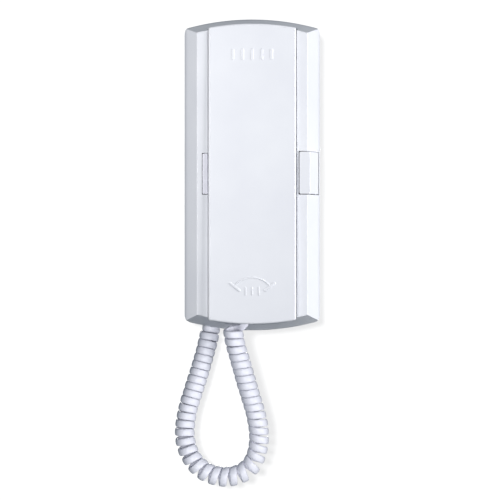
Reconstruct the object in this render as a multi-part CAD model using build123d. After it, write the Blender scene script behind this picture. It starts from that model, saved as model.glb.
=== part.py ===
from build123d import *
import os
from math import atan, degrees, hypot, radians, sqrt, tan

# Slimline wall phone: a bevelled base on the wall, a flat handset lying in its channel, and a curly cord.
# Millimetres. The origin is the centre of the base's rear face, on the wall. +X is right, +Z is up and
# the phone faces -Y. Rigid pieces are drawn lying on their backs (x across, y up the phone, z out of the
# wall, called depth below) and stand() turns each one upright. Cord routes are given standing.

# Base shell
body_width = 91.5
body_height = 210.0
end_arc_radius = 165.0
corner_radius = 5.5
shoulder_depth = 18.0
front_depth = 34.0
side_bevel = 8.9
end_bevel = 6.8
shoulder_round = 20.0
ridge_round = 0.7
wall = 2.2

# Handset and the channel it lies in
handset_width = 58.4
handset_length = 200.0
handset_gap = 0.4
handset_corner = 1.6
handset_edge_round = 1.3
handset_wall = 2.0
face_depth_top = 35.0
face_depth_bottom = 36.8
parting_depth = 27.0
floor_depth = 18.0
rest_gap = 0.9
rib_wall = 1.6
waist_half = 44.0
waist_shoulder = 58.0
waist_rise = 4.4

# Wall plate
plate_thickness = 2.0
plate_gap = 0.3
plate_rim_height = 5.0
plate_rim_wall = 1.4
wall_slot_spacing = 60.0
wall_slot_width = 4.2
wall_slot_length = 8.0
cable_hole_width = 14.0
cable_hole_height = 20.0
cable_hole_corner = 3.0
pilot_floor = 0.5

# Circuit board
board_width = 50.0
board_length = 150.0
board_thickness = 1.6
board_post_height = 2.5
board_post_radius = 3.0
board_post_x = 20.0
board_post_y = 66.0
ear_height = 26.0
ear_margin = 0.2
ear_gap = 0.15
driver_hole_radius = 4.5

# Lugs and pads in the channel that locate the handset
lug_reach = 14.0
lug_half = 3.0
lug_inset = 5.0
lug_round = 1.5
pad_x = 20.0
pad_y = 80.0
pad_radius = 4.0
pad_height = 0.5
pad_round = 0.3

# Terminal block
terminal_y = 50.0
terminal_pitch = 5.0
terminal_count = 8
terminal_height = 9.0
terminal_length = 8.6
terminal_chamfer = 1.2
terminal_mouth = 3.2
terminal_mouth_length = 6.0
terminal_mouth_low = 1.0
terminal_mouth_high = 5.0
terminal_well_radius = 1.9
terminal_well_low = 5.5
terminal_screw_radius = 1.8
terminal_screw_height = 1.8

# Call sounder and the slots over it
sounder_x = -11.0
sounder_y = -54.0
sounder_radius = 10.0
sounder_height = 7.5
sounder_round = 1.0
sounder_port_radius = 2.0
sounder_port_low = 5.0
slot_count = 5
slot_pitch = 4.0
slot_width = 1.6
slot_length = 14.0

# Small components, as (x, y, radius) where there are several
capacitor_places = [(14.0, -42.0, 4.0), (14.0, -53.0, 4.0), (16.0, 32.0, 3.1)]
capacitor_height = 8.6
capacitor_round = 0.6
resistor_x = -15.0
resistor_first_y = 20.0
resistor_pitch = 4.0
resistor_count = 5
resistor_radius = 1.15
resistor_length = 6.4
resistor_lift = 1.2
chip_x = 15.0
chip_y = 20.0
chip_width = 8.0
chip_length = 10.0
chip_lift = 0.5
chip_height = 3.3
leg_pitch = 2.5
leg_count = 4
leg_width = 0.6
leg_reach = 5.2
leg_height = 1.6

# Screws
screw_radius = 1.5
screw_head_radius = 3.0
screw_head_height = 1.8
screw_clearance = 0.1
small_screw_radius = 1.2
small_head_radius = 2.6
small_head_height = 1.1
screw_slot = 0.8
cover_screw_y = 88.0
cover_boss_radius = 4.2
cover_cup_depth = 12.8
handset_screw_y = 37.0

# Press switches, their stems and springs
switch_size = 8.0
switch_height = 3.5
pin_radius = 1.5
pin_clearance = 0.1
pin_start = 2.3
pin_bore_floor = 0.6
switch_chamfer = 0.4
spring_wire = 0.5
spring_radius = 2.5
spring_turns = 5
spring_end_gap = 0.05

# Door button on the right rail, light key on the left one
button_height = 28.0
button_rise = 0.7
button_rib = 1.8
button_inset = 1.45
button_proud = 1.0
button_gap = 0.5
button_wall = 1.5
button_skirt_depth = 17.6
button_travel = 1.5
button_floor_gap = 0.9
stem_radius = 3.0
stem_collar_depth = 16.0
button_corner = 0.8
key_height = 27.0
key_width = 3.5
key_proud = 0.3
key_gap = 0.35
key_foot_depth = 19.8
key_stem_radius = 2.4
key_foot_height = 2.0
key_corner = 0.9
key_round = 0.25
key_travel = 1.2

# Hook plunger
plunger_y = -67.0
plunger_radius = 3.0
plunger_clearance = 0.25
plunger_tip_gap = 0.3
plunger_flange_radius = 4.4
plunger_flange_depth = 11.3
plunger_flange_height = 1.0
plunger_tip_round = 1.2
plunger_spring_turns = 1.5

# Earpiece, microphone and weight
receiver_y = 77.0
receiver_radius = 17.0
receiver_height = 8.4
receiver_wide_share = 0.6
receiver_dish_depth = 1.2
receiver_dish_radius = 6.0
gasket_height = 1.0
gasket_width = 5.0
microphone_y = -74.0
microphone_radius = 4.85
microphone_height = 6.0
microphone_lift = 0.2
microphone_chamfer = 0.4
boot_wall = 2.2
weight_width = 30.0
weight_length = 54.0
weight_height = 5.0
weight_corner = 2.0
ear_hole_radius = 1.1
ear_hole_ring = 6.5
ear_hole_count = 6
mouth_hole_radius = 0.9
mouth_hole_pitch = 4.0
opening_depth = 3.0

# Modular plugs, their sockets and the cord
plug_width = 7.6
plug_height = 6.5
plug_length = 12.0
plug_gap = 0.1
contact_count = 4
contact_pitch = 1.27
contact_width = 0.6
contact_length = 4.0
contact_depth = 1.0
socket_wall = 0.9
socket_length = 14.0
socket_end_wall = 1.5
socket_set_back = 0.5
handset_plug_x = -4.4
handset_plug_depth = 30.7
handset_plug_sunk = 0.8
coil_diameter = 13.4
lead_thickness = 2.6
lead_drop = 2.1
lead_bend = (-2.4, 0.5, -0.7)
lead_end_gap = (3.8, -1.2, 1.9)
cord_entry_gap = 1.0
cord_entry_height = 11.0
corner_share = 0.45

# The coil's centre line from the base's socket round to the handset, as (x, y, height over the base's foot)
coil_fall = [
    (-28.2, -9.0, 8.5),
    (-28.2, -9.0, -0.5),
    (-31.8, -9.8, -15.0),
    (-38.3, -11.0, -36.5),
    (-45.0, -12.2, -57.0),
    (-46.2, -13.4, -77.0),
    (-36.0, -15.2, -94.5),
    (-18.0, -17.5, -100.0),
    (-1.5, -20.0, -94.0),
    (5.0, -22.0, -78.0),
    (4.0, -23.6, -60.0),
    (-2.6, -25.2, -39.0),
    (-8.2, -26.6, -19.0),
    (-11.9, -27.6, -7.0),
    (-12.9, -28.0, 0.6),
]

# Derived places
half_width = body_width / 2
half_height = body_height / 2
coil_route = [(x, y, rise - half_height) for x, y, rise in coil_fall]
channel_half_width = handset_width / 2 + handset_gap
channel_half_length = handset_length / 2 + handset_gap
floor_back = floor_depth - wall
handset_back_depth = floor_depth + rest_gap
handset_arc = end_arc_radius - half_height + handset_length / 2
board_back = plate_thickness + board_post_height
board_front = board_back + board_thickness
switch_top = board_front + switch_height
pin_end = board_front + pin_start
plate_inset = wall + plate_gap
ear_reach = half_width - plate_inset - plate_rim_wall - ear_gap
stem_x = ear_reach - ear_margin - switch_size / 2
button_inner_x = channel_half_width + button_rib
button_outer_x = half_width - button_inset
coil_start = coil_route[0]
past = 1.0
far_past = 400.0


def stand(shape):
    """Turns a piece from lying on its back to hanging on the wall."""
    return Rot(90, 0, 0) * shape


def block(x_low, x_high, y_low, y_high, z_low, z_high):
    """A box between two corners."""
    size = (x_high - x_low, y_high - y_low, z_high - z_low)
    return Pos(x_low, y_low, z_low) * Box(*size, align=(Align.MIN, Align.MIN, Align.MIN))


def post(x, y, z_low, z_high, radius):
    """A round post or hole standing out from the wall."""
    low = (Align.CENTER, Align.CENTER, Align.MIN)
    return Pos(x, y, z_low) * Cylinder(radius, z_high - z_low, align=low)


def bowed_plan(half_w, half_h, arc_radius, corner):
    """Front outline with straight sides, bowed ends and rounded corners."""
    side_end = half_h - arc_radius + sqrt(arc_radius**2 - half_w**2)
    left = Line((-half_w, -side_end), (-half_w, side_end))
    top = ThreePointArc((-half_w, side_end), (0, half_h), (half_w, side_end))
    right = Line((half_w, side_end), (half_w, -side_end))
    bottom = ThreePointArc((half_w, -side_end), (0, -half_h), (-half_w, -side_end))
    face = make_face([left, top, right, bottom])
    return fillet(face.vertices(), corner)


def bowed_slab(half_w, half_h, arc_radius, corner, z_low, z_high):
    """A slab of the bowed outline between two depths."""
    face = bowed_plan(half_w, half_h, arc_radius, corner)
    return Pos(0, 0, z_low) * extrude(face, z_high - z_low)


def inset_slab(inset, corner, z_low, z_high):
    """A slab of the base's own outline, drawn in by inset."""
    size = (half_width - inset, half_height - inset, end_arc_radius - inset)
    return bowed_slab(*size, corner, z_low, z_high)


def bevel_section(reach, run, inset, back):
    """Half section of the base: wall line, rounded shoulder, bevel and front line."""
    rise = front_depth - shoulder_depth
    slant = hypot(run, rise)
    shoulder = shoulder_depth - inset * (slant - rise) / run
    ridge = reach - run - inset * (slant - run) / rise
    front = front_depth - inset
    return [(reach, back), (reach, shoulder), (ridge, front)]


def rounded_section(points, inset):
    """Face of a section with its shoulders rounded."""
    face = make_face(Polyline(*points, close=True))
    front = max(y for _, y in points)
    shoulders = [v for v in face.vertices() if 5 < v.Y < front - 1]
    return fillet(shoulders, shoulder_round - inset)


def bevel_form(inset, back):
    """The base's bevelled form, drawn in by inset on every wall, starting at depth back."""
    half_w = half_width - inset
    arc_radius = end_arc_radius - inset
    side = bevel_section(half_w, side_bevel, inset, back)
    mirrored = [(-x, z) for x, z in reversed(side)]
    prism = extrude(Plane.XZ * rounded_section(side + mirrored, inset), body_height, both=True)
    end = bevel_section(arc_radius, end_bevel, inset, back)
    middle = [(0, front_depth - inset), (0, back)]
    lens = revolve(Plane.XZ * rounded_section(end + middle, inset), Axis.Z)
    centre = half_height - end_arc_radius
    column = inset_slab(inset, corner_radius - inset, back, front_depth - inset)
    return prism & (Pos(0, centre, 0) * lens & Pos(0, -centre, 0) * lens) & column


def outer_form(proud):
    """The base's outside, standing proud of its own surface, with a rounded ridge round the front."""
    form = bevel_form(-proud, 0)
    return fillet(form.faces().sort_by(Axis.Z)[-1].edges(), ridge_round)


def channel_slab(grow, z_low, z_high):
    """The handset channel's outline, grown by grow, between two depths."""
    corner = handset_corner + handset_gap + grow
    size = (channel_half_width + grow, channel_half_length + grow, handset_arc + handset_gap + grow)
    return bowed_slab(*size, corner, z_low, z_high)


def door_box(grow, z_low):
    """The door button's place on the right rail, grown by grow."""
    half = button_height / 2 + grow
    low = button_rise - half
    high = button_rise + half
    return block(button_inner_x - grow, button_outer_x + grow, low, high, z_low, far_past)


def key_box(grow, z_low, z_high):
    """The light key's place at the left edge of the channel, grown by grow."""
    half = key_height / 2 + grow
    inner = -channel_half_width
    return block(inner - key_width - grow, inner + grow, -half, half, z_low, z_high)


def cover_cup(y):
    """Screw cup in the channel floor, as (solid, hollow)."""
    head_seat = cover_cup_depth + wall
    solid = post(0, y, cover_cup_depth, floor_depth, screw_head_radius + rib_wall)
    bore = post(0, y, cover_cup_depth - past, front_depth, screw_radius + screw_clearance)
    seat = post(0, y, head_seat, front_depth, screw_head_radius + screw_clearance * 3)
    return solid, bore + seat


def cradle_lug(y):
    """Low lug that locates the handset's waist."""
    top = floor_depth + waist_rise - rest_gap
    lug = block(-lug_reach, lug_reach, y - lug_half, y + lug_half, floor_back, top)
    return fillet(lug.edges().group_by(Axis.Z)[-1], lug_round)


def sounder_slots():
    """Sound slots in the channel floor over the sounder."""
    left = sounder_x - slot_length / 2
    first = sounder_y - slot_pitch * (slot_count - 1) / 2 - slot_width / 2
    slots = []
    for i in range(slot_count):
        low = first + slot_pitch * i
        high = low + slot_width
        slots.append(block(left, left + slot_length, low, high, floor_back - past, floor_depth + past))
    return Compound(slots)


def cord_entry():
    """Opening in the bottom wall where the coil comes up to its socket."""
    reach = coil_diameter / 2 + cord_entry_gap
    x, y, _ = coil_start
    high = cord_entry_height - half_height
    return block(x - reach, x + reach, -far_past, high, -past, reach - y)


def front_cover():
    hollow = bevel_form(wall, -past) - channel_slab(rib_wall, floor_back, front_depth)
    for y in (cover_screw_y, -cover_screw_y):
        hollow -= cover_cup(y)[0]
    shell = outer_form(0) - hollow
    shell -= channel_slab(0, floor_depth, far_past)
    for y in (waist_half - lug_inset, lug_inset - waist_half):
        shell += cradle_lug(y)
    for y in (cover_screw_y, -cover_screw_y):
        shell -= cover_cup(y)[1]
    shell -= door_box(button_gap, button_skirt_depth - button_travel - button_floor_gap)
    shell -= key_box(key_gap, key_foot_depth - key_travel - key_gap, far_past)
    hole = plunger_radius + plunger_clearance
    shell -= post(0, plunger_y, floor_back - past, floor_depth + past, hole)
    shell -= sounder_slots()
    shell -= cord_entry()
    return shell


def wall_plate():
    corner = corner_radius - plate_inset
    plate = inset_slab(plate_inset, corner, 0, plate_thickness)
    rim = inset_slab(plate_inset, corner, plate_thickness, plate_rim_height)
    rim -= inset_slab(plate_inset + plate_rim_wall, corner - 1, 0, plate_rim_height + past)
    plate += rim
    pilot = screw_radius + screw_clearance
    for y in (cover_screw_y, -cover_screw_y):
        plate += post(0, y, plate_thickness, cover_cup_depth - 0.1, cover_boss_radius)
        plate -= post(0, y, plate_thickness + pilot_floor, far_past, pilot)
    for x, y in board_corners():
        plate += post(x, y, plate_thickness, board_back, board_post_radius)
        plate -= post(x, y, pilot_floor, far_past, small_screw_radius + screw_clearance)
    for y in (wall_slot_spacing / 2, -wall_slot_spacing / 2):
        slot = SlotOverall(wall_slot_length, wall_slot_width, rotation=90)
        plate -= Pos(0, y, -past) * extrude(slot, plate_thickness + 2 * past)
    plate -= cable_hole(0, plate_thickness)
    plate -= cord_entry() - block(-far_past, far_past, -far_past, far_past, -far_past, plate_thickness)
    return plate


def cable_hole(z_low, z_high):
    """Rounded hole for the building's cable, cut through a sheet between two depths."""
    hole = RectangleRounded(cable_hole_width, cable_hole_height, cable_hole_corner)
    return Pos(0, 0, z_low - past) * extrude(hole, z_high - z_low + 2 * past)


def board_corners():
    return [(x, y) for x in (board_post_x, -board_post_x) for y in (board_post_y, -board_post_y)]


def main_board():
    half_w = board_width / 2
    half_l = board_length / 2
    board = block(-half_w, half_w, -half_l, half_l, board_back, board_front)
    board += block(-ear_reach, ear_reach, -ear_height / 2, ear_height / 2, board_back, board_front)
    board -= cable_hole(board_back, board_front)
    for y in (wall_slot_spacing / 2, -wall_slot_spacing / 2):
        board -= post(0, y, board_back - past, board_front + past, driver_hole_radius)
    for x, y in board_corners():
        board -= post(x, y, board_back - past, board_front + past, small_screw_radius + screw_clearance)
    return board


def screw(x, y, seat, tip, radius, head_radius, head_height):
    """Pan-head screw whose head stands out of the wall from its seat."""
    head = post(x, y, seat, seat + head_height, head_radius)
    head = fillet(head.edges().group_by(Axis.Z)[-1], head_height / 2)
    head -= driver_slot(x, y, head_radius, seat + head_height / 2)
    return head + post(x, y, tip, seat, radius)


def driver_slot(x, y, reach, z_low):
    """Straight slot across a screw's head, open outwards from z_low."""
    return block(x - reach, x + reach, y - screw_slot / 2, y + screw_slot / 2, z_low, far_past)


def cover_screws():
    seat = cover_cup_depth + wall
    tip = plate_thickness + 2
    size = (screw_radius, screw_head_radius, screw_head_height)
    return Compound([screw(0, y, seat, tip, *size) for y in (cover_screw_y, -cover_screw_y)])


def board_screws():
    tip = pilot_floor * 2
    size = (small_screw_radius, small_head_radius, small_head_height)
    return Compound([screw(x, y, board_front, tip, *size) for x, y in board_corners()])


def terminal_places():
    first = -terminal_pitch * (terminal_count - 1) / 2
    return [first + terminal_pitch * i for i in range(terminal_count)]


def terminal_block():
    half = terminal_pitch * terminal_count / 2
    low = terminal_y - terminal_length / 2
    top = board_front + terminal_height
    body = block(-half, half, low, low + terminal_length, board_front, top)
    body = chamfer(body.edges().group_by(Axis.Z)[-1].filter_by(Axis.X), terminal_chamfer)
    mouth = terminal_mouth / 2
    depths = (board_front + terminal_mouth_low, board_front + terminal_mouth_high)
    for x in terminal_places():
        body -= block(x - mouth, x + mouth, low - past, low + terminal_mouth_length - past, *depths)
        body -= post(x, terminal_y, board_front + terminal_well_low, far_past, terminal_well_radius)
    return body


def terminal_screws():
    seat = board_front + terminal_well_low
    top = seat + terminal_screw_height
    heads = []
    for x in terminal_places():
        head = post(x, terminal_y, seat, top, terminal_screw_radius)
        heads.append(head - driver_slot(x, terminal_y, terminal_screw_radius, top - screw_slot))
    return Compound(heads)


def press_switch(x, y):
    """Switch body with the bore its stem's pin runs in."""
    half = switch_size / 2
    body = block(x - half, x + half, y - half, y + half, board_front, switch_top)
    body = chamfer(body.edges().group_by(Axis.Z)[-1], switch_chamfer)
    return body - post(x, y, board_front + pin_bore_floor, far_past, pin_radius + pin_clearance)


def return_spring(x, y, z_low, z_high, turns):
    """Coil spring between two seats, its end turns clear of them by a hair."""
    low = z_low + spring_wire / 2 + spring_end_gap
    rise = z_high - spring_wire / 2 - spring_end_gap - low
    path = Helix(pitch=rise / turns, height=rise, radius=spring_radius)
    section = Plane(origin=path @ 0, z_dir=path % 0) * Circle(spring_wire / 2)
    return Pos(x, y, low) * sweep(section, path=path, is_frenet=True)


def call_sounder():
    can = post(sounder_x, sounder_y, board_front, board_front + sounder_height, sounder_radius)
    can = fillet(can.edges().group_by(Axis.Z)[-1], sounder_round)
    return can - post(sounder_x, sounder_y, board_front + sounder_port_low, far_past, sounder_port_radius)


def capacitors():
    cans = []
    for x, y, radius in capacitor_places:
        can = post(x, y, board_front, board_front + capacitor_height, radius)
        cans.append(fillet(can.edges().group_by(Axis.Z)[-1], capacitor_round))
    return Compound(cans)


def resistors():
    lying = Rot(0, 90, 0) * Cylinder(resistor_radius, resistor_length)
    z = board_front + resistor_lift
    rows = [resistor_first_y + resistor_pitch * i for i in range(resistor_count)]
    return Compound([Pos(resistor_x, y, z) * lying for y in rows])


def control_chip():
    half_w = chip_width / 2
    half_l = chip_length / 2
    low = board_front + chip_lift
    chip = block(chip_x - half_w, chip_x + half_w, chip_y - half_l, chip_y + half_l, low, low + chip_height)
    left = chip_x - leg_reach
    right = chip_x + leg_reach
    first = chip_y - leg_pitch * (leg_count - 1) / 2 - leg_width / 2
    for i in range(leg_count):
        y = first + leg_pitch * i
        chip += block(left, right, y, y + leg_width, board_front, board_front + leg_height)
    return chip


def cradle_pads():
    places = [(x, y) for x in (pad_x, -pad_x) for y in (pad_y, -pad_y)]
    pads = []
    for x, y in places:
        pad = post(x, y, floor_depth, floor_depth + pad_height, pad_radius)
        pads.append(fillet(pad.edges().group_by(Axis.Z)[-1], pad_round))
    return Compound(pads)


def door_button():
    shell = outer_form(button_proud) & door_box(0, button_skirt_depth)
    shell = fillet(shell.edges().filter_by(Axis.Z).group_by(Axis.X)[0], button_corner)
    hollow = bevel_form(button_wall - button_proud, 0) & door_box(-button_wall, 0)
    shell -= hollow
    stem = post(stem_x, button_rise, stem_collar_depth, front_depth, stem_radius) & bevel_form(0, 0)
    pin = post(stem_x, button_rise, pin_end, stem_collar_depth, pin_radius)
    return shell + stem + pin


def door_spring():
    return return_spring(stem_x, button_rise, switch_top, stem_collar_depth, spring_turns)


def light_key():
    head = key_box(0, key_foot_depth, front_depth + key_proud)
    left = head.edges().filter_by(Axis.Z).group_by(Axis.X)[0]
    head = fillet(left, key_corner)
    head = fillet(head.edges().group_by(Axis.Z)[-1], key_round)
    inner = -channel_half_width - key_gap
    reach = key_stem_radius
    foot_top = key_foot_depth + key_foot_height
    foot = block(-stem_x - reach, inner, -reach, reach, key_foot_depth, foot_top)
    stem = post(-stem_x, 0, stem_collar_depth, foot_top, reach)
    pin = post(-stem_x, 0, pin_end, stem_collar_depth, pin_radius)
    return head + pin + ((foot + stem) & bevel_form(wall + screw_clearance, 0))


def light_spring():
    return return_spring(-stem_x, 0, switch_top, stem_collar_depth, spring_turns)


def hook_plunger():
    tip = handset_back_depth - plunger_tip_gap
    rod = post(0, plunger_y, plunger_flange_depth, tip, plunger_radius)
    rod = fillet(rod.edges().group_by(Axis.Z)[-1], plunger_tip_round)
    top = plunger_flange_depth + plunger_flange_height
    rod += post(0, plunger_y, plunger_flange_depth, top, plunger_flange_radius)
    return rod + post(0, plunger_y, board_front + past, plunger_flange_depth, pin_radius)


def hook_spring():
    return return_spring(0, plunger_y, switch_top, plunger_flange_depth, plunger_spring_turns)


def handset_form(inset):
    """The handset's outer form, drawn in by inset, before its edges are rounded."""
    corner = max(handset_corner - inset, 0.4)
    size = (handset_width / 2 - inset, handset_length / 2 - inset, handset_arc - inset)
    back = handset_back_depth + inset
    form = bowed_slab(*size, corner, back, face_depth_bottom + 2)
    middle = (face_depth_top + face_depth_bottom) / 2 - inset
    tilt = degrees(atan((face_depth_top - face_depth_bottom) / handset_length))
    above = block(-handset_width, handset_width, -handset_length, handset_length, 0, front_depth)
    form -= Pos(0, 0, middle) * Rot(tilt, 0, 0) * above
    rise = back + waist_rise
    low = back - past
    sides = [(-waist_shoulder, low), (-waist_shoulder, back), (-waist_half, rise)]
    sides += [(-y, z) for y, z in reversed(sides)]
    waist = extrude(Plane.YZ * make_face(Polyline(*sides, close=True)), handset_width, both=True)
    return form - waist


def handset_shells():
    """Front and back shells as one hollow form, split at the parting line."""
    form = handset_form(0)
    front_edges = form.faces().sort_by(Axis.Z)[-1].edges()
    form = fillet(front_edges, handset_edge_round)
    hollow = form - handset_form(handset_wall)
    cut = block(-far_past, far_past, -far_past, far_past, parting_depth, far_past)
    return hollow & cut, hollow - cut


def handset_front():
    shell = handset_shells()[0]
    inner = handset_form(handset_wall / 2)
    low = handset_back_depth + waist_rise + handset_wall + screw_clearance
    bore_top = face_depth_top - handset_wall - 1
    for y in (handset_screw_y, -handset_screw_y):
        boss = post(0, y, low, far_past, screw_head_radius) & inner
        boss -= post(0, y, 0, bore_top, small_screw_radius + screw_clearance)
        shell += boss
    return shell - plug_opening()


def plug_opening():
    """Hole in the handset's bottom wall for its plug."""
    half_w = plug_width / 2 + plug_gap * 3
    half_d = plug_height / 2 + plug_gap
    low = handset_plug_depth - half_d
    x = handset_plug_x
    y = -handset_length / 2
    return block(x - half_w, x + half_w, y - past, y + handset_wall + past, low, low + 2 * half_d)


def handset_back():
    shell = handset_shells()[1]
    seat = handset_back_depth + waist_rise
    for y in (handset_screw_y, -handset_screw_y):
        shell -= post(0, y, 0, parting_depth, small_screw_radius + screw_clearance)
        shell -= post(0, y, 0, seat + small_head_height, small_head_radius + screw_clearance)
    opening_end = handset_back_depth + opening_depth
    ear_hole = post(0, 0, 0, opening_end, ear_hole_radius)
    shell -= Pos(0, receiver_y, 0) * ear_hole
    for place in PolarLocations(ear_hole_ring, ear_hole_count):
        shell -= Pos(0, receiver_y, 0) * place * ear_hole
    for x in (-mouth_hole_pitch, 0, mouth_hole_pitch):
        shell -= post(x, microphone_y, 0, opening_end, mouth_hole_radius)
    return shell


def handset_screws():
    """Two screws that go in from the handset's back."""
    seat = handset_back_depth + waist_rise + small_head_height
    screws = []
    for y in (handset_screw_y, -handset_screw_y):
        head = post(0, y, seat - small_head_height + screw_clearance, seat, small_head_radius)
        low = y - screw_slot / 2
        high = y + screw_slot / 2
        head -= block(-small_head_radius, small_head_radius, low, high, 0, seat - screw_slot / 2)
        shank = post(0, y, seat, face_depth_top - handset_wall - 2, small_screw_radius)
        screws.append(head + shank)
    return Compound(screws)


def receiver_gasket():
    low = handset_back_depth + handset_wall
    ring = post(0, receiver_y, low, low + gasket_height, receiver_radius - gasket_height)
    return ring - post(0, receiver_y, 0, far_past, receiver_radius - gasket_width)


def receiver_capsule():
    low = handset_back_depth + handset_wall + gasket_height
    step = low + receiver_height * receiver_wide_share
    wide = post(0, receiver_y, low, step, receiver_radius)
    wide = fillet(wide.edges().group_by(Axis.Z)[0], gasket_height)
    magnet = post(0, receiver_y, step, low + receiver_height, receiver_radius / 2)
    return wide + magnet - post(0, receiver_y, low - past, low + receiver_dish_depth, receiver_dish_radius)


def microphone_boot():
    low = handset_back_depth + handset_wall
    outer = post(0, microphone_y, low, low + microphone_height + 1, microphone_radius + boot_wall)
    return outer - post(0, microphone_y, low - past, far_past, microphone_radius + pin_clearance)


def microphone():
    low = handset_back_depth + handset_wall + microphone_lift
    can = post(0, microphone_y, low, low + microphone_height, microphone_radius)
    return chamfer(can.edges().group_by(Axis.Z)[-1], microphone_chamfer)


def handset_weight():
    low = handset_back_depth + waist_rise + handset_wall
    half_w = weight_width / 2
    half_l = weight_length / 2
    bar = block(-half_w, half_w, -half_l, half_l, low, low + weight_height)
    return chamfer(bar.edges().filter_by(Axis.Z), weight_corner)


def modular_plug(x, y_end, depth):
    """Clear modular plug pointing up the phone, its cord end at y_end."""
    half_w = plug_width / 2
    half_d = plug_height / 2
    top = depth + half_d
    y_tip = y_end + plug_length
    body = block(x - half_w, x + half_w, y_end, y_tip, depth - half_d, top)
    first = x - contact_pitch * (contact_count - 1) / 2 - contact_width / 2
    for i in range(contact_count):
        left = first + contact_pitch * i
        right = left + contact_width
        body -= block(left, right, y_tip - contact_length, far_past, top - contact_depth, far_past)
    return body


def modular_socket(x, y_end, depth):
    """Socket whose mouth faces down at y_end."""
    half_w = plug_width / 2 + plug_gap
    half_d = plug_height / 2 + plug_gap
    outer_w = half_w + socket_wall
    outer_d = half_d + socket_wall / 2
    y_tip = y_end + socket_length
    y_floor = y_tip - socket_end_wall
    body = block(x - outer_w, x + outer_w, y_end, y_tip, depth - outer_d, depth + outer_d)
    return body - block(x - half_w, x + half_w, y_end - past, y_floor, depth - half_d, depth + half_d)


def base_plug():
    return modular_plug(coil_start[0], coil_start[2], -coil_start[1])


def base_socket():
    return modular_socket(coil_start[0], coil_start[2] + past, -coil_start[1])


def handset_plug():
    return modular_plug(handset_plug_x, -handset_length / 2 + handset_plug_sunk, handset_plug_depth)


def handset_socket():
    mouth = -handset_length / 2 + handset_wall + socket_set_back
    return modular_socket(handset_plug_x, mouth, handset_plug_depth)


def route_radii(route):
    """Largest arc that each corner of a route has room for."""
    points = [Vector(p) for p in route]
    radii = []
    for before, here, after in zip(points, points[1:], points[2:]):
        run_in = here - before
        run_out = after - here
        turn = radians(run_in.get_angle(run_out))
        radii.append(corner_share * min(run_in.length, run_out.length) / tan(turn / 2))
    return radii


def tube(name, route, diameter):
    """Round tube along straight runs joined by tangent arcs."""
    radii = route_radii(route)
    print(name, "tightest arc", round(min(radii), 1), "needs over", round(diameter / 2, 1))
    path = FilletPolyline(*route, radius=radii)
    section = Plane(origin=path @ 0, z_dir=path % 0) * Circle(diameter / 2)
    return sweep(section, path=path)


def cord_coil():
    return tube("cord_coil", coil_route, coil_diameter)


def cord_lead():
    """Flat lead from the handset's plug to the top of the coil, which it stops just above."""
    start = Vector(handset_plug_x, -handset_plug_depth, -handset_length / 2 + handset_plug_sunk)
    below = start - Vector(0, 0, lead_drop)
    bend = below + Vector(*lead_bend)
    end = Vector(*coil_route[-1]) + Vector(*lead_end_gap)
    return tube("cord_lead", [start, below, bend, end], lead_thickness)


lying_pieces = {
    "wall_plate": wall_plate,
    "front_cover": front_cover,
    "cover_screws": cover_screws,
    "main_board": main_board,
    "board_screws": board_screws,
    "terminal_block": terminal_block,
    "terminal_screws": terminal_screws,
    "base_socket": base_socket,
    "call_sounder": call_sounder,
    "capacitors": capacitors,
    "resistors": resistors,
    "control_chip": control_chip,
    "door_switch": lambda: press_switch(stem_x, button_rise),
    "light_switch": lambda: press_switch(-stem_x, 0),
    "hook_switch": lambda: press_switch(0, plunger_y),
    "cradle_pads": cradle_pads,
    "door_button": door_button,
    "door_spring": door_spring,
    "light_key": light_key,
    "light_spring": light_spring,
    "hook_plunger": hook_plunger,
    "hook_spring": hook_spring,
    "handset_front": handset_front,
    "handset_back": handset_back,
    "handset_screws": handset_screws,
    "receiver_gasket": receiver_gasket,
    "receiver_capsule": receiver_capsule,
    "microphone_boot": microphone_boot,
    "microphone": microphone,
    "handset_weight": handset_weight,
    "handset_socket": handset_socket,
    "handset_plug": handset_plug,
    "base_plug": base_plug,
}

standing_pieces = {
    "cord_coil": cord_coil,
    "cord_lead": cord_lead,
}

os.makedirs("parts", exist_ok=True)
for node, make in lying_pieces.items():
    export_step(stand(make()), f"parts/{node}.step")
for node, make in standing_pieces.items():
    export_step(make(), f"parts/{node}.step")
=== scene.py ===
import math

import bpy
import numpy as np
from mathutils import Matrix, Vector


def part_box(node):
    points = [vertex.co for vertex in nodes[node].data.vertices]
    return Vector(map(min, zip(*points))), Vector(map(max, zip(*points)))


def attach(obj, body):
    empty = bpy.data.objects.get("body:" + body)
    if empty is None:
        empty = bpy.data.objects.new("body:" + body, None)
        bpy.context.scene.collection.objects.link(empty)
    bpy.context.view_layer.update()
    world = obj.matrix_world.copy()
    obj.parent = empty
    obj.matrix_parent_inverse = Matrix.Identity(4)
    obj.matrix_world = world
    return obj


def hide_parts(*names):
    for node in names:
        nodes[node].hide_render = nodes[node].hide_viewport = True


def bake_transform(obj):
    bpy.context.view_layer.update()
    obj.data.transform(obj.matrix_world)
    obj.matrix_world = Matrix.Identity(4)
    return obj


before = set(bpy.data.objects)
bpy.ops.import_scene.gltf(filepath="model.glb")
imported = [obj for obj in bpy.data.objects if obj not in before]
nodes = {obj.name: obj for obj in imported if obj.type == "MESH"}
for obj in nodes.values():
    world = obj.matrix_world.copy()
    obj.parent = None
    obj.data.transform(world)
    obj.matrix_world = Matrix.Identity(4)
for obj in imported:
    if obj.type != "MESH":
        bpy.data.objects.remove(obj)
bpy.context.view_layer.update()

MM = 0.001

# Camera: level, in front of the phone's middle and a little below it
CAMERA_DISTANCE = 1.2
CAMERA_X = -1.5 * MM
CAMERA_Z = -50.7 * MM
VIEW_WIDTH = 0.337
SENSOR = 36.0
OUTLINE_DEPTH = 18 * MM

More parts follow.
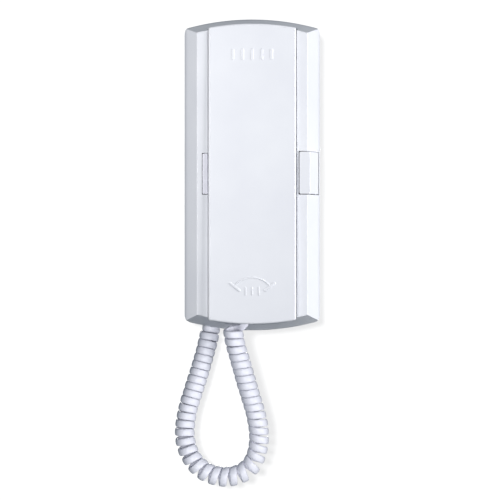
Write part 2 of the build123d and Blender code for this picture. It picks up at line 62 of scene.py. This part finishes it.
# Stage, metres
FLOOR_BELOW = 0.25
WALL_Y = 0.001
WALL_GLOW = 0.8
WALL_ALBEDO = 0.15
WORLD_STRENGTH = 0.09
SUN_STRENGTH = 5.6
SUN_WIDTH = 13
SUN_DIRECTION = (0.24, 1.0, -0.2)

# Curly cord, millimetres
COIL_DIAMETER = 13.4
CABLE_WIDTH = 4.8
CABLE_THICKNESS = 2.5
CLOSE_PITCH = 5.02
CORD_STEP = 0.17
PLAIN_START = 3.0
GROW_TURNS = 0.9
LEAN = 0.2
SECTION_POINTS = 32
SECTION_POWER = 0.74
GROOVE_SHARE = 0.07
GROOVE_HALF_WIDTH = 0.24
BEND_SMOOTHING = 91
TURN_CLEARANCE = 0.4
INNER_PITCH_SHARE = 0.97
# rate per turn, phase and size in millimetres of each wave in the coil's radius
COIL_WOBBLE = [(0.9, 0.4, 0.06), (2.3, 1.9, 0.04)]
COIL_ROUTE = [
    (-28.2, -9.0, -96.5),
    (-28.2, -9.0, -105.5),
    (-31.8, -9.8, -120.0),
    (-38.3, -11.0, -141.5),
    (-45.0, -12.2, -162.0),
    (-46.2, -13.4, -182.0),
    (-36.0, -15.2, -199.5),
    (-18.0, -17.5, -205.0),
    (-1.5, -20.0, -199.0),
    (5.0, -22.0, -183.0),
    (4.0, -23.6, -165.0),
    (-2.6, -25.2, -144.0),
    (-8.2, -26.6, -124.0),
    (-11.9, -27.6, -112.0),
    (-12.9, -28.0, -104.4),
]
LEAD_START_RUN = 2.2
LEAD_KNEE = (-6.6, -28.6, -102.6)
LEAD_END = (-4.4, -30.7, -99.2)
LEAD_STEP = 0.4

# Handset face, millimetres: its depth at the middle and its gain per millimetre downwards
FACE_DEPTH = 35.9
FACE_SLOPE = 0.009


# ---------------------------------------------------------------- camera, objects and lamps


def add_camera():
    data = bpy.data.cameras.new("camera")
    data.sensor_width = SENSOR
    data.lens = SENSOR * CAMERA_DISTANCE / VIEW_WIDTH
    data.clip_start = 0.05
    data.clip_end = 50
    camera = bpy.data.objects.new("camera", data)
    camera.location = (CAMERA_X, -OUTLINE_DEPTH - CAMERA_DISTANCE, CAMERA_Z)
    camera.rotation_euler = (math.radians(90), 0, 0)
    bpy.context.scene.collection.objects.link(camera)
    bpy.context.scene.camera = camera


def add_object(name, mesh):
    obj = bpy.data.objects.new(name, mesh)
    bpy.context.scene.collection.objects.link(obj)
    return obj


def mesh_from(name, vertices, faces, smooth=True):
    mesh = bpy.data.meshes.new(name)
    mesh.from_pydata([tuple(v) for v in vertices], [], faces)
    mesh.polygons.foreach_set("use_smooth", [smooth] * len(mesh.polygons))
    mesh.update()
    return mesh


def add_area(name, location, target, size, watts, colour, spread=180):
    data = bpy.data.lights.new(name, "AREA")
    data.shape = "RECTANGLE"
    data.size, data.size_y = size
    data.energy = watts
    data.color = colour
    data.spread = math.radians(spread)
    light = bpy.data.objects.new(name, data)
    light.location = location
    aim = Vector(target) - Vector(location)
    light.rotation_euler = aim.to_track_quat("-Z", "Y").to_euler()
    bpy.context.scene.collection.objects.link(light)
    return light


# ---------------------------------------------------------------- node helpers


class Shader:
    """A material's node tree, with short calls for adding and joining nodes."""

    def __init__(self, name):
        self.material = bpy.data.materials.new(name)
        self.material.use_nodes = True
        self.tree = self.material.node_tree
        self.tree.nodes.clear()
        self.output = self.add("ShaderNodeOutputMaterial")

    def add(self, kind, **values):
        node = self.tree.nodes.new(kind)
        for key, value in values.items():
            if hasattr(node, key):
                setattr(node, key, value)
            else:
                node.inputs[key.replace("_", " ")].default_value = value
        return node

    def link(self, source, target):
        self.tree.links.new(source, target)

    def principled(self, **values):
        node = self.add("ShaderNodeBsdfPrincipled")
        for key, value in values.items():
            node.inputs[key.replace("_", " ")].default_value = value
        self.link(node.outputs[0], self.output.inputs["Surface"])
        return node


def linear(red, green, blue):
    """sRGB numbers from 0 to 255 as linear light."""
    channels = []
    for value in (red, green, blue):
        share = value / 255
        channels.append(share / 12.92 if share <= 0.04045 else ((share + 0.055) / 1.055) ** 2.4)
    return channels[0], channels[1], channels[2], 1.0


def moulded_plastic(name, colour, tint, roughness, grain=0.5, grain_scale=2600):
    """Moulded plastic: faint colour drift, fine spark-eroded grain and uneven gloss."""
    shader = Shader(name)
    surface = shader.principled(Specular_IOR_Level=0.5)
    place = shader.add("ShaderNodeTexCoord").outputs["Object"]
    drift = shader.add("ShaderNodeTexNoise", Scale=26.0, Detail=3.0)
    shader.link(place, drift.inputs["Vector"])
    ramp = shader.add("ShaderNodeValToRGB")
    ramp.color_ramp.elements[0].position = 0.35
    ramp.color_ramp.elements[0].color = colour
    ramp.color_ramp.elements[1].position = 0.7
    ramp.color_ramp.elements[1].color = tint
    shader.link(drift.outputs["Fac"], ramp.inputs["Fac"])
    shader.link(ramp.outputs["Color"], surface.inputs["Base Color"])
    gloss = shader.add("ShaderNodeTexNoise", Scale=420.0, Detail=4.0)
    shader.link(place, gloss.inputs["Vector"])
    spread = shader.add("ShaderNodeMapRange")
    spread.inputs["To Min"].default_value = roughness - 0.05
    spread.inputs["To Max"].default_value = roughness + 0.07
    shader.link(gloss.outputs["Fac"], spread.inputs["Value"])
    shader.link(spread.outputs["Result"], surface.inputs["Roughness"])
    fine = shader.add("ShaderNodeTexNoise", Scale=grain_scale, Detail=2.0)
    shader.link(place, fine.inputs["Vector"])
    bump = shader.add("ShaderNodeBump", Strength=grain, Distance=0.00004)
    shader.link(fine.outputs["Fac"], bump.inputs["Height"])
    shader.link(bump.outputs["Normal"], surface.inputs["Normal"])
    return shader.material


# ---------------------------------------------------------------- curly cord


def spline_points(name, route):
    """Points along the smooth line of a route, in millimetres."""
    curve = bpy.data.curves.new(name, "CURVE")
    curve.dimensions = "3D"
    curve.resolution_u = 24
    spline = curve.splines.new("NURBS")
    spline.points.add(len(route) - 1)
    for point, place in zip(spline.points, route):
        point.co = (*place, 1)
    spline.order_u = 3
    spline.use_endpoint_u = True
    obj = bpy.data.objects.new(name, curve)
    bpy.context.scene.collection.objects.link(obj)
    bpy.context.view_layer.update()
    mesh = bpy.data.meshes.new_from_object(obj)
    points = np.array([v.co for v in mesh.vertices], float)
    bpy.data.objects.remove(obj)
    bpy.data.meshes.remove(mesh)
    bpy.data.curves.remove(curve)
    return points


def resample(points, step):
    """Evenly spaced points along a polyline, with their distances."""
    lengths = np.linalg.norm(np.diff(points, axis=0), axis=1)
    along = np.concatenate([[0], np.cumsum(lengths)])
    count = max(int(along[-1] / step), 8) + 1
    places = np.linspace(0, along[-1], count)
    return np.column_stack([np.interp(places, along, points[:, i]) for i in range(3)]), places


def smooth_values(values, width):
    kernel = np.hanning(width)
    padded = np.concatenate([[values[0]] * width, values, [values[-1]] * width])
    return np.convolve(padded, kernel / kernel.sum(), "same")[width:-width]


def unit(vectors):
    return vectors / np.linalg.norm(vectors, axis=-1, keepdims=True)


def carried_frames(points, first_normal):
    """Tangents and a normal carried along the line without twisting."""
    tangents = unit(np.gradient(points, axis=0))
    normals = np.zeros_like(points)
    normal = np.array(first_normal, float)
    for i, tangent in enumerate(tangents):
        normal = normal - tangent * normal.dot(tangent)
        normal = normal / np.linalg.norm(normal)
        normals[i] = normal
    return tangents, normals


def wave(turns, phases):
    """A slow, uneven wobble along the coil."""
    return sum(size * np.sin(turns * rate + phase) for rate, phase, size in phases)


def smoothstep(values):
    share = np.clip(values, 0, 1)
    return share * share * (3 - 2 * share)


def helix_part():
    """Cable centres and outward directions round every turn, starting at the base's plug."""
    centre, along = resample(spline_points("coil_route", COIL_ROUTE), CORD_STEP)
    tangents, normals = carried_frames(centre, (1, 0, 0))
    sides = np.cross(tangents, normals)
    bend = smooth_values(np.linalg.norm(np.gradient(tangents, along, axis=0), axis=1), BEND_SMOOTHING)
    reach = COIL_DIAMETER / 2 + TURN_CLEARANCE
    pitch = np.maximum(CLOSE_PITCH, INNER_PITCH_SHARE * CLOSE_PITCH / (1 - reach * bend))
    turns = np.cumsum(np.where(along < PLAIN_START, 0, CORD_STEP / pitch))
    radius = (COIL_DIAMETER - CABLE_THICKNESS) / 2 + wave(turns, COIL_WOBBLE)
    radius = radius * smoothstep(turns / GROW_TURNS)
    # the last point is at the back of the top ring, where the lead leaves it
    last_angle = math.atan2(sides[-1][1], normals[-1][1])
    angle = last_angle - (turns - turns[-1]) * 2 * math.pi
    outward = unit(normals * np.cos(angle)[:, None] + sides * np.sin(angle)[:, None])
    # the rings of the arm that hangs from the base slope across it
    share = along / along[-1]
    lean = LEAN * smoothstep(share / 0.05) * (1 - smoothstep((share - 0.3) / 0.3))
    level = unit(np.cross(np.tile((0.0, 1.0, 0.0), (len(tangents), 1)), tangents))
    level *= np.sign(level[:, :1])
    slide = -lean * radius * np.sum(outward * level, axis=1)
    return centre + outward * radius[:, None] + tangents * slide[:, None], outward


def lead_part(helix):
    """Cable centres from the back of the top ring to the handset's plug."""
    onward = unit(helix[-1] - helix[-2])
    route = [
        tuple(helix[-1]),
        tuple(helix[-1] + onward * LEAD_START_RUN),
        LEAD_KNEE,
        LEAD_END,
    ]
    points, _ = resample(spline_points("lead_route", route), LEAD_STEP)
    outward = np.tile((0.0, 1.0, 0.0), (len(points), 1))
    return points[1:], outward[1:]


def cable_section():
    """Half width, half thickness outline of the flat cable, grooved between its four cores."""
    points = []
    for i in range(SECTION_POINTS):
        angle = 2 * math.pi * i / SECTION_POINTS
        cosine, sine = math.cos(angle), math.sin(angle)
        across = CABLE_WIDTH / 2 * math.copysign(abs(cosine) ** SECTION_POWER, cosine)
        through = CABLE_THICKNESS / 2 * math.copysign(abs(sine) ** SECTION_POWER, sine)
        groove = sum(
            math.exp(-(((across - core * CABLE_WIDTH / 4) / GROOVE_HALF_WIDTH) ** 2))
            for core in (-1, 0, 1)
        )
        points.append((across, through * (1 - GROOVE_SHARE * groove)))
    return points


def curly_cord():
    helix, helix_out = helix_part()
    lead, lead_out = lead_part(helix)
    path = np.vstack([helix, lead])
    outward = np.vstack([helix_out, lead_out])
    along = unit(np.gradient(path, axis=0))
    outward = unit(outward - along * np.sum(outward * along, axis=1, keepdims=True))
    across = np.cross(along, outward)
    section = cable_section()
    vertices = np.concatenate([path + across * u + outward * v for u, v in section])
    rings = len(path)
    vertices = vertices.reshape(len(section), rings, 3).transpose(1, 0, 2).reshape(-1, 3)
    faces = []
    size = len(section)
    for ring in range(rings - 1):
        for i in range(size):
            after = (i + 1) % size
            low = ring * size
            faces.append((low + i, low + after, low + size + after, low + size + i))
    faces.append(tuple(reversed(range(size))))
    faces.append(tuple(range((rings - 1) * size, rings * size)))
    cord = add_object("curly_cord", mesh_from("curly_cord", vertices * MM, faces))
    cord.data.materials.append(cord_jacket())
    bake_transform(cord)
    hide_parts("cord_coil", "cord_lead")
    return cord


def cord_jacket():
    """Soft satin PVC with a faint mottle."""
    return moulded_plastic(
        "cord_jacket", linear(235, 235, 244), linear(240, 240, 248), 0.42, grain=0.35, grain_scale=1800
    )


# ---------------------------------------------------------------- raised marks on the handset


def raised_line(name, places, width, height, material):
    """A low rounded ridge on the handset's face along places, which are (x, z) in millimetres."""
    curve = bpy.data.curves.new(name, "CURVE")
    curve.dimensions = "3D"
    curve.bevel_depth = width / 2
    curve.bevel_resolution = 5
    curve.use_fill_caps = True
    spline = curve.splines.new("POLY")
    ends = rounded_ends(places, width / 2)
    spline.points.add(len(ends) - 1)
    for point, (x, z, radius) in zip(spline.points, ends):
        point.co = (x, 0, z, 1)
        point.radius = radius
    source = bpy.data.objects.new(name + "_line", curve)
    bpy.context.scene.collection.objects.link(source)
    bpy.context.view_layer.update()
    mesh = bpy.data.meshes.new_from_object(source)
    bpy.data.objects.remove(source)
    bpy.data.curves.remove(curve)
    for vertex in mesh.vertices:
        x, y, z = vertex.co
        depth = FACE_DEPTH - FACE_SLOPE * z - y * 2 * height / width
        vertex.co = (x * MM, -depth * MM, z * MM)
    mesh.polygons.foreach_set("use_smooth", [True] * len(mesh.polygons))
    mesh.materials.clear()
    mesh.materials.append(material)
    ridge = add_object(name, mesh)
    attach(ridge, "handset")


def rounded_ends(places, reach):
    """The places with short tapering ends added, as (x, z, radius share)."""
    points = [Vector(place) for place in places]
    first = (points[0] - points[1]).normalized()
    last = (points[-1] - points[-2]).normalized()
    shares = [(0.95, 0.31), (0.8, 0.6), (0.45, 0.89)]
    head = [(*(points[0] + first * reach * far), share) for far, share in shares]
    tail = [(*(points[-1] + last * reach * far), share) for far, share in reversed(shares)]
    return head + [(*point, 1.0) for point in points] + tail


def arc_places(centre, radius, start, end, count=15):
    """Places round an arc, its angles in degrees from the right."""
    angles = [math.radians(start + (end - start) * i / (count - 1)) for i in range(count)]
    return [(centre[0] + radius * math.cos(a), centre[1] + radius * math.sin(a)) for a in angles]


def raised_marks(material):
    """Five plain bars at the ear end and a plain handset symbol at the mouth end."""
    for i in range(5):
        x = (i - 2) * 6.4
        raised_line(f"ear_bar_{i}", [(x, 76.4), (x, 82.2)], 2.0, 0.3, material)
    handle = arc_places((0, -84.0), 15.0, 38, 142)
    raised_line("symbol_handle", handle, 1.1, 0.32, material)
    for side, name in ((-1, "ear"), (1, "mouth")):
        cup = [(side * 8.6, -77.6), (side * 14.6, -72.8)]
        raised_line("symbol_" + name, cup, 1.9, 0.36, material)
    for i in range(3):
        x = (i - 1) * 4.4
        raised_line(f"symbol_dash_{i}", [(x, -75.6), (x, -80.6)], 0.9, 0.26, material)


# ---------------------------------------------------------------- materials of the CAD parts


def steel(name, shade, roughness):
    """Plated steel with drawn-line variation."""
    shader = Shader(name)
    surface = shader.principled(Metallic=1.0, Roughness=roughness)
    place = shader.add("ShaderNodeTexCoord").outputs["Object"]
    noise = shader.add("ShaderNodeTexNoise", Scale=900.0, Detail=3.0)
    shader.link(place, noise.inputs["Vector"])
    ramp = shader.add("ShaderNodeValToRGB")
    ramp.color_ramp.elements[0].color = (shade * 0.8, shade * 0.8, shade * 0.82, 1)
    ramp.color_ramp.elements[1].color = (shade, shade, shade * 1.02, 1)
    shader.link(noise.outputs["Fac"], ramp.inputs["Fac"])
    shader.link(ramp.outputs["Color"], surface.inputs["Base Color"])
    return shader.material


def paint(material, *names):
    for name in names:
        slots = nodes[name].data.materials
        slots.clear()
        slots.append(material)


def dress_parts():
    body = moulded_plastic("body_plastic", linear(237, 238, 243), linear(242, 243, 247), 0.34, grain=0.3)
    paint(body, "front_cover", "door_button", "handset_front", "handset_back", "wall_plate")
    raised_marks(body)
    key = moulded_plastic("key_plastic", linear(243, 242, 251), linear(246, 245, 253), 0.25, grain=0.2)
    paint(key, "light_key")
    screws = steel("screw_steel", 0.62, 0.3)
    paint(screws, "cover_screws", "board_screws", "terminal_screws", "handset_screws")
    paint(steel("spring_steel", 0.5, 0.25), "door_spring", "light_spring", "hook_spring")
    paint(steel("weight_steel", 0.4, 0.45), "handset_weight")
    paint(steel("capsule_metal", 0.7, 0.35), "receiver_capsule", "microphone")
    dark = moulded_plastic("switch_plastic", (0.02, 0.02, 0.022, 1), (0.03, 0.03, 0.033, 1), 0.5)
    paint(dark, "door_switch", "light_switch", "hook_switch", "base_socket", "handset_socket")
    paint(dark, "call_sounder", "control_chip")
    rubber = moulded_plastic("pad_rubber", (0.03, 0.03, 0.032, 1), (0.04, 0.04, 0.043, 1), 0.75, grain=0.8)
    paint(rubber, "cradle_pads", "receiver_gasket", "microphone_boot")
    green = moulded_plastic("terminal_plastic", (0.01, 0.09, 0.04, 1), (0.012, 0.1, 0.045, 1), 0.45)
    paint(green, "terminal_block")
    mask = moulded_plastic("board", (0.008, 0.06, 0.025, 1), (0.012, 0.08, 0.03, 1), 0.35)
    paint(mask, "main_board")
    can = moulded_plastic("can_metal", (0.05, 0.06, 0.12, 1), (0.06, 0.07, 0.14, 1), 0.3)
    paint(can, "capacitors")
    tan_paint = moulded_plastic("resistor_paint", (0.45, 0.32, 0.16, 1), (0.5, 0.36, 0.18, 1), 0.3)
    paint(tan_paint, "resistors")
    white = moulded_plastic("plunger_plastic", linear(225, 226, 228), linear(230, 231, 233), 0.4)
    paint(white, "hook_plunger")
    clear = moulded_plastic("plug_plastic", linear(225, 230, 234), linear(232, 236, 240), 0.12)
    paint(clear, "base_plug", "handset_plug")


# ---------------------------------------------------------------- stage


def add_floor():
    """Round pale floor well below the cord."""
    floor_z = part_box("cord_coil")[0].z - FLOOR_BELOW
    rim = 64
    angles = [2 * math.pi * i / rim for i in range(rim)]
    vertices = [(math.cos(a), math.sin(a), floor_z) for a in angles]
    floor = add_object("floor", mesh_from("floor", vertices, [tuple(range(rim))], smooth=False))
    grey = moulded_plastic("floor_paint", (0.8, 0.8, 0.8, 1), (0.82, 0.82, 0.82, 1), 0.7)
    floor.data.materials.append(grey)
    floor.visible_diffuse = False


def add_wall():
    """Glowing wall behind the phone that takes its soft shade, and is clear from behind."""
    half = 3.0
    corners = [(-half, WALL_Y, -half), (half, WALL_Y, -half), (half, WALL_Y, half), (-half, WALL_Y, half)]
    wall = add_object("wall", mesh_from("wall", corners, [(0, 1, 2, 3)], smooth=False))
    shader = Shader("wall_light")
    glow = shader.add("ShaderNodeEmission", Strength=WALL_GLOW)
    matt = shader.add("ShaderNodeBsdfDiffuse", Color=(WALL_ALBEDO, WALL_ALBEDO, WALL_ALBEDO, 1))
    both = shader.add("ShaderNodeAddShader")
    clear = shader.add("ShaderNodeBsdfTransparent")
    side = shader.add("ShaderNodeNewGeometry").outputs["Backfacing"]
    mix = shader.add("ShaderNodeMixShader")
    shader.link(glow.outputs[0], both.inputs[0])
    shader.link(matt.outputs[0], both.inputs[1])
    shader.link(side, mix.inputs[0])
    shader.link(both.outputs[0], mix.inputs[1])
    shader.link(clear.outputs[0], mix.inputs[2])
    shader.link(mix.outputs[0], shader.output.inputs["Surface"])
    wall.data.materials.append(shader.material)
    wall.visible_diffuse = False
    wall.visible_glossy = False
    return wall


def add_world():
    """Faint bluish fill, with a pale backdrop where the view looks past the wall."""
    world = bpy.data.worlds.new("studio")
    bpy.context.scene.world = world
    world.use_nodes = True
    tree, links = world.node_tree.nodes, world.node_tree.links
    fill = tree["Background"]
    fill.inputs["Color"].default_value = (0.5, 0.76, 1.0, 1)
    fill.inputs["Strength"].default_value = WORLD_STRENGTH
    backdrop = tree.new("ShaderNodeBackground")
    backdrop.inputs["Color"].default_value = (0.7, 0.71, 0.73, 1)
    path = tree.new("ShaderNodeLightPath")
    mix = tree.new("ShaderNodeMixShader")
    links.new(path.outputs["Is Camera Ray"], mix.inputs[0])
    links.new(fill.outputs[0], mix.inputs[1])
    links.new(backdrop.outputs[0], mix.inputs[2])
    links.new(mix.outputs[0], tree["World Output"].inputs["Surface"])


def linked(name, objects, state):
    """A collection that keeps lights to these objects, or keeps them off these objects."""
    group = bpy.data.collections.new(name)
    for obj in objects:
        group.objects.link(obj)
    for entry in group.collection_objects:
        entry.light_linking.link_state = state
    return group


def add_lights(wall, cord):
    """Boxes for the phone's front, right and back, two for the cord, and a sun for the wall."""
    phone_only = linked("phone_only", [wall, cord], "EXCLUDE")
    middle = (0, -0.02, -0.02)
    high = (0, -0.02, 0.06)
    loop = (-0.02, -0.02, -0.16)
    white = (1.0, 0.99, 0.99)
    cool = (0.985, 0.985, 1.0)
    for box in (
        add_area("main_box", (-0.42, -0.62, 0.12), high, (0.4, 0.4), 2.1, white, 120),
        add_area("right_box", (1.08, -0.34, 0.05), middle, (0.4, 0.8), 15.5, cool),
    ):
        box.light_linking.receiver_collection = phone_only
    back = add_area("back_box", (0, 1.2, -0.02), middle, (0.3, 0.3), 6.0, white)
    back.light_linking.receiver_collection = linked("back_lit", [wall], "EXCLUDE")
    back.light_linking.blocker_collection = linked("lets_back_through", [wall], "EXCLUDE")
    cord_only = linked("cord_only", [cord], "INCLUDE")
    for box in (
        add_area("cord_right", (0.7, -0.7, -0.2), loop, (0.5, 0.5), 5.2, cool),
        add_area("cord_front", (0, -1.0, -0.2), loop, (0.4, 0.4), 6.0, cool),
    ):
        box.light_linking.receiver_collection = cord_only
    data = bpy.data.lights.new("wall_sun", "SUN")
    data.energy = SUN_STRENGTH
    data.angle = math.radians(SUN_WIDTH)
    sun = bpy.data.objects.new("wall_sun", data)
    sun.rotation_euler = Vector(SUN_DIRECTION).to_track_quat("-Z", "Y").to_euler()
    bpy.context.scene.collection.objects.link(sun)
    sun.light_linking.receiver_collection = linked("wall_only", [wall], "INCLUDE")


bpy.context.scene.view_settings.view_transform = "Standard"
add_camera()
add_world()
add_floor()
wall = add_wall()
dress_parts()
add_lights(wall, curly_cord())
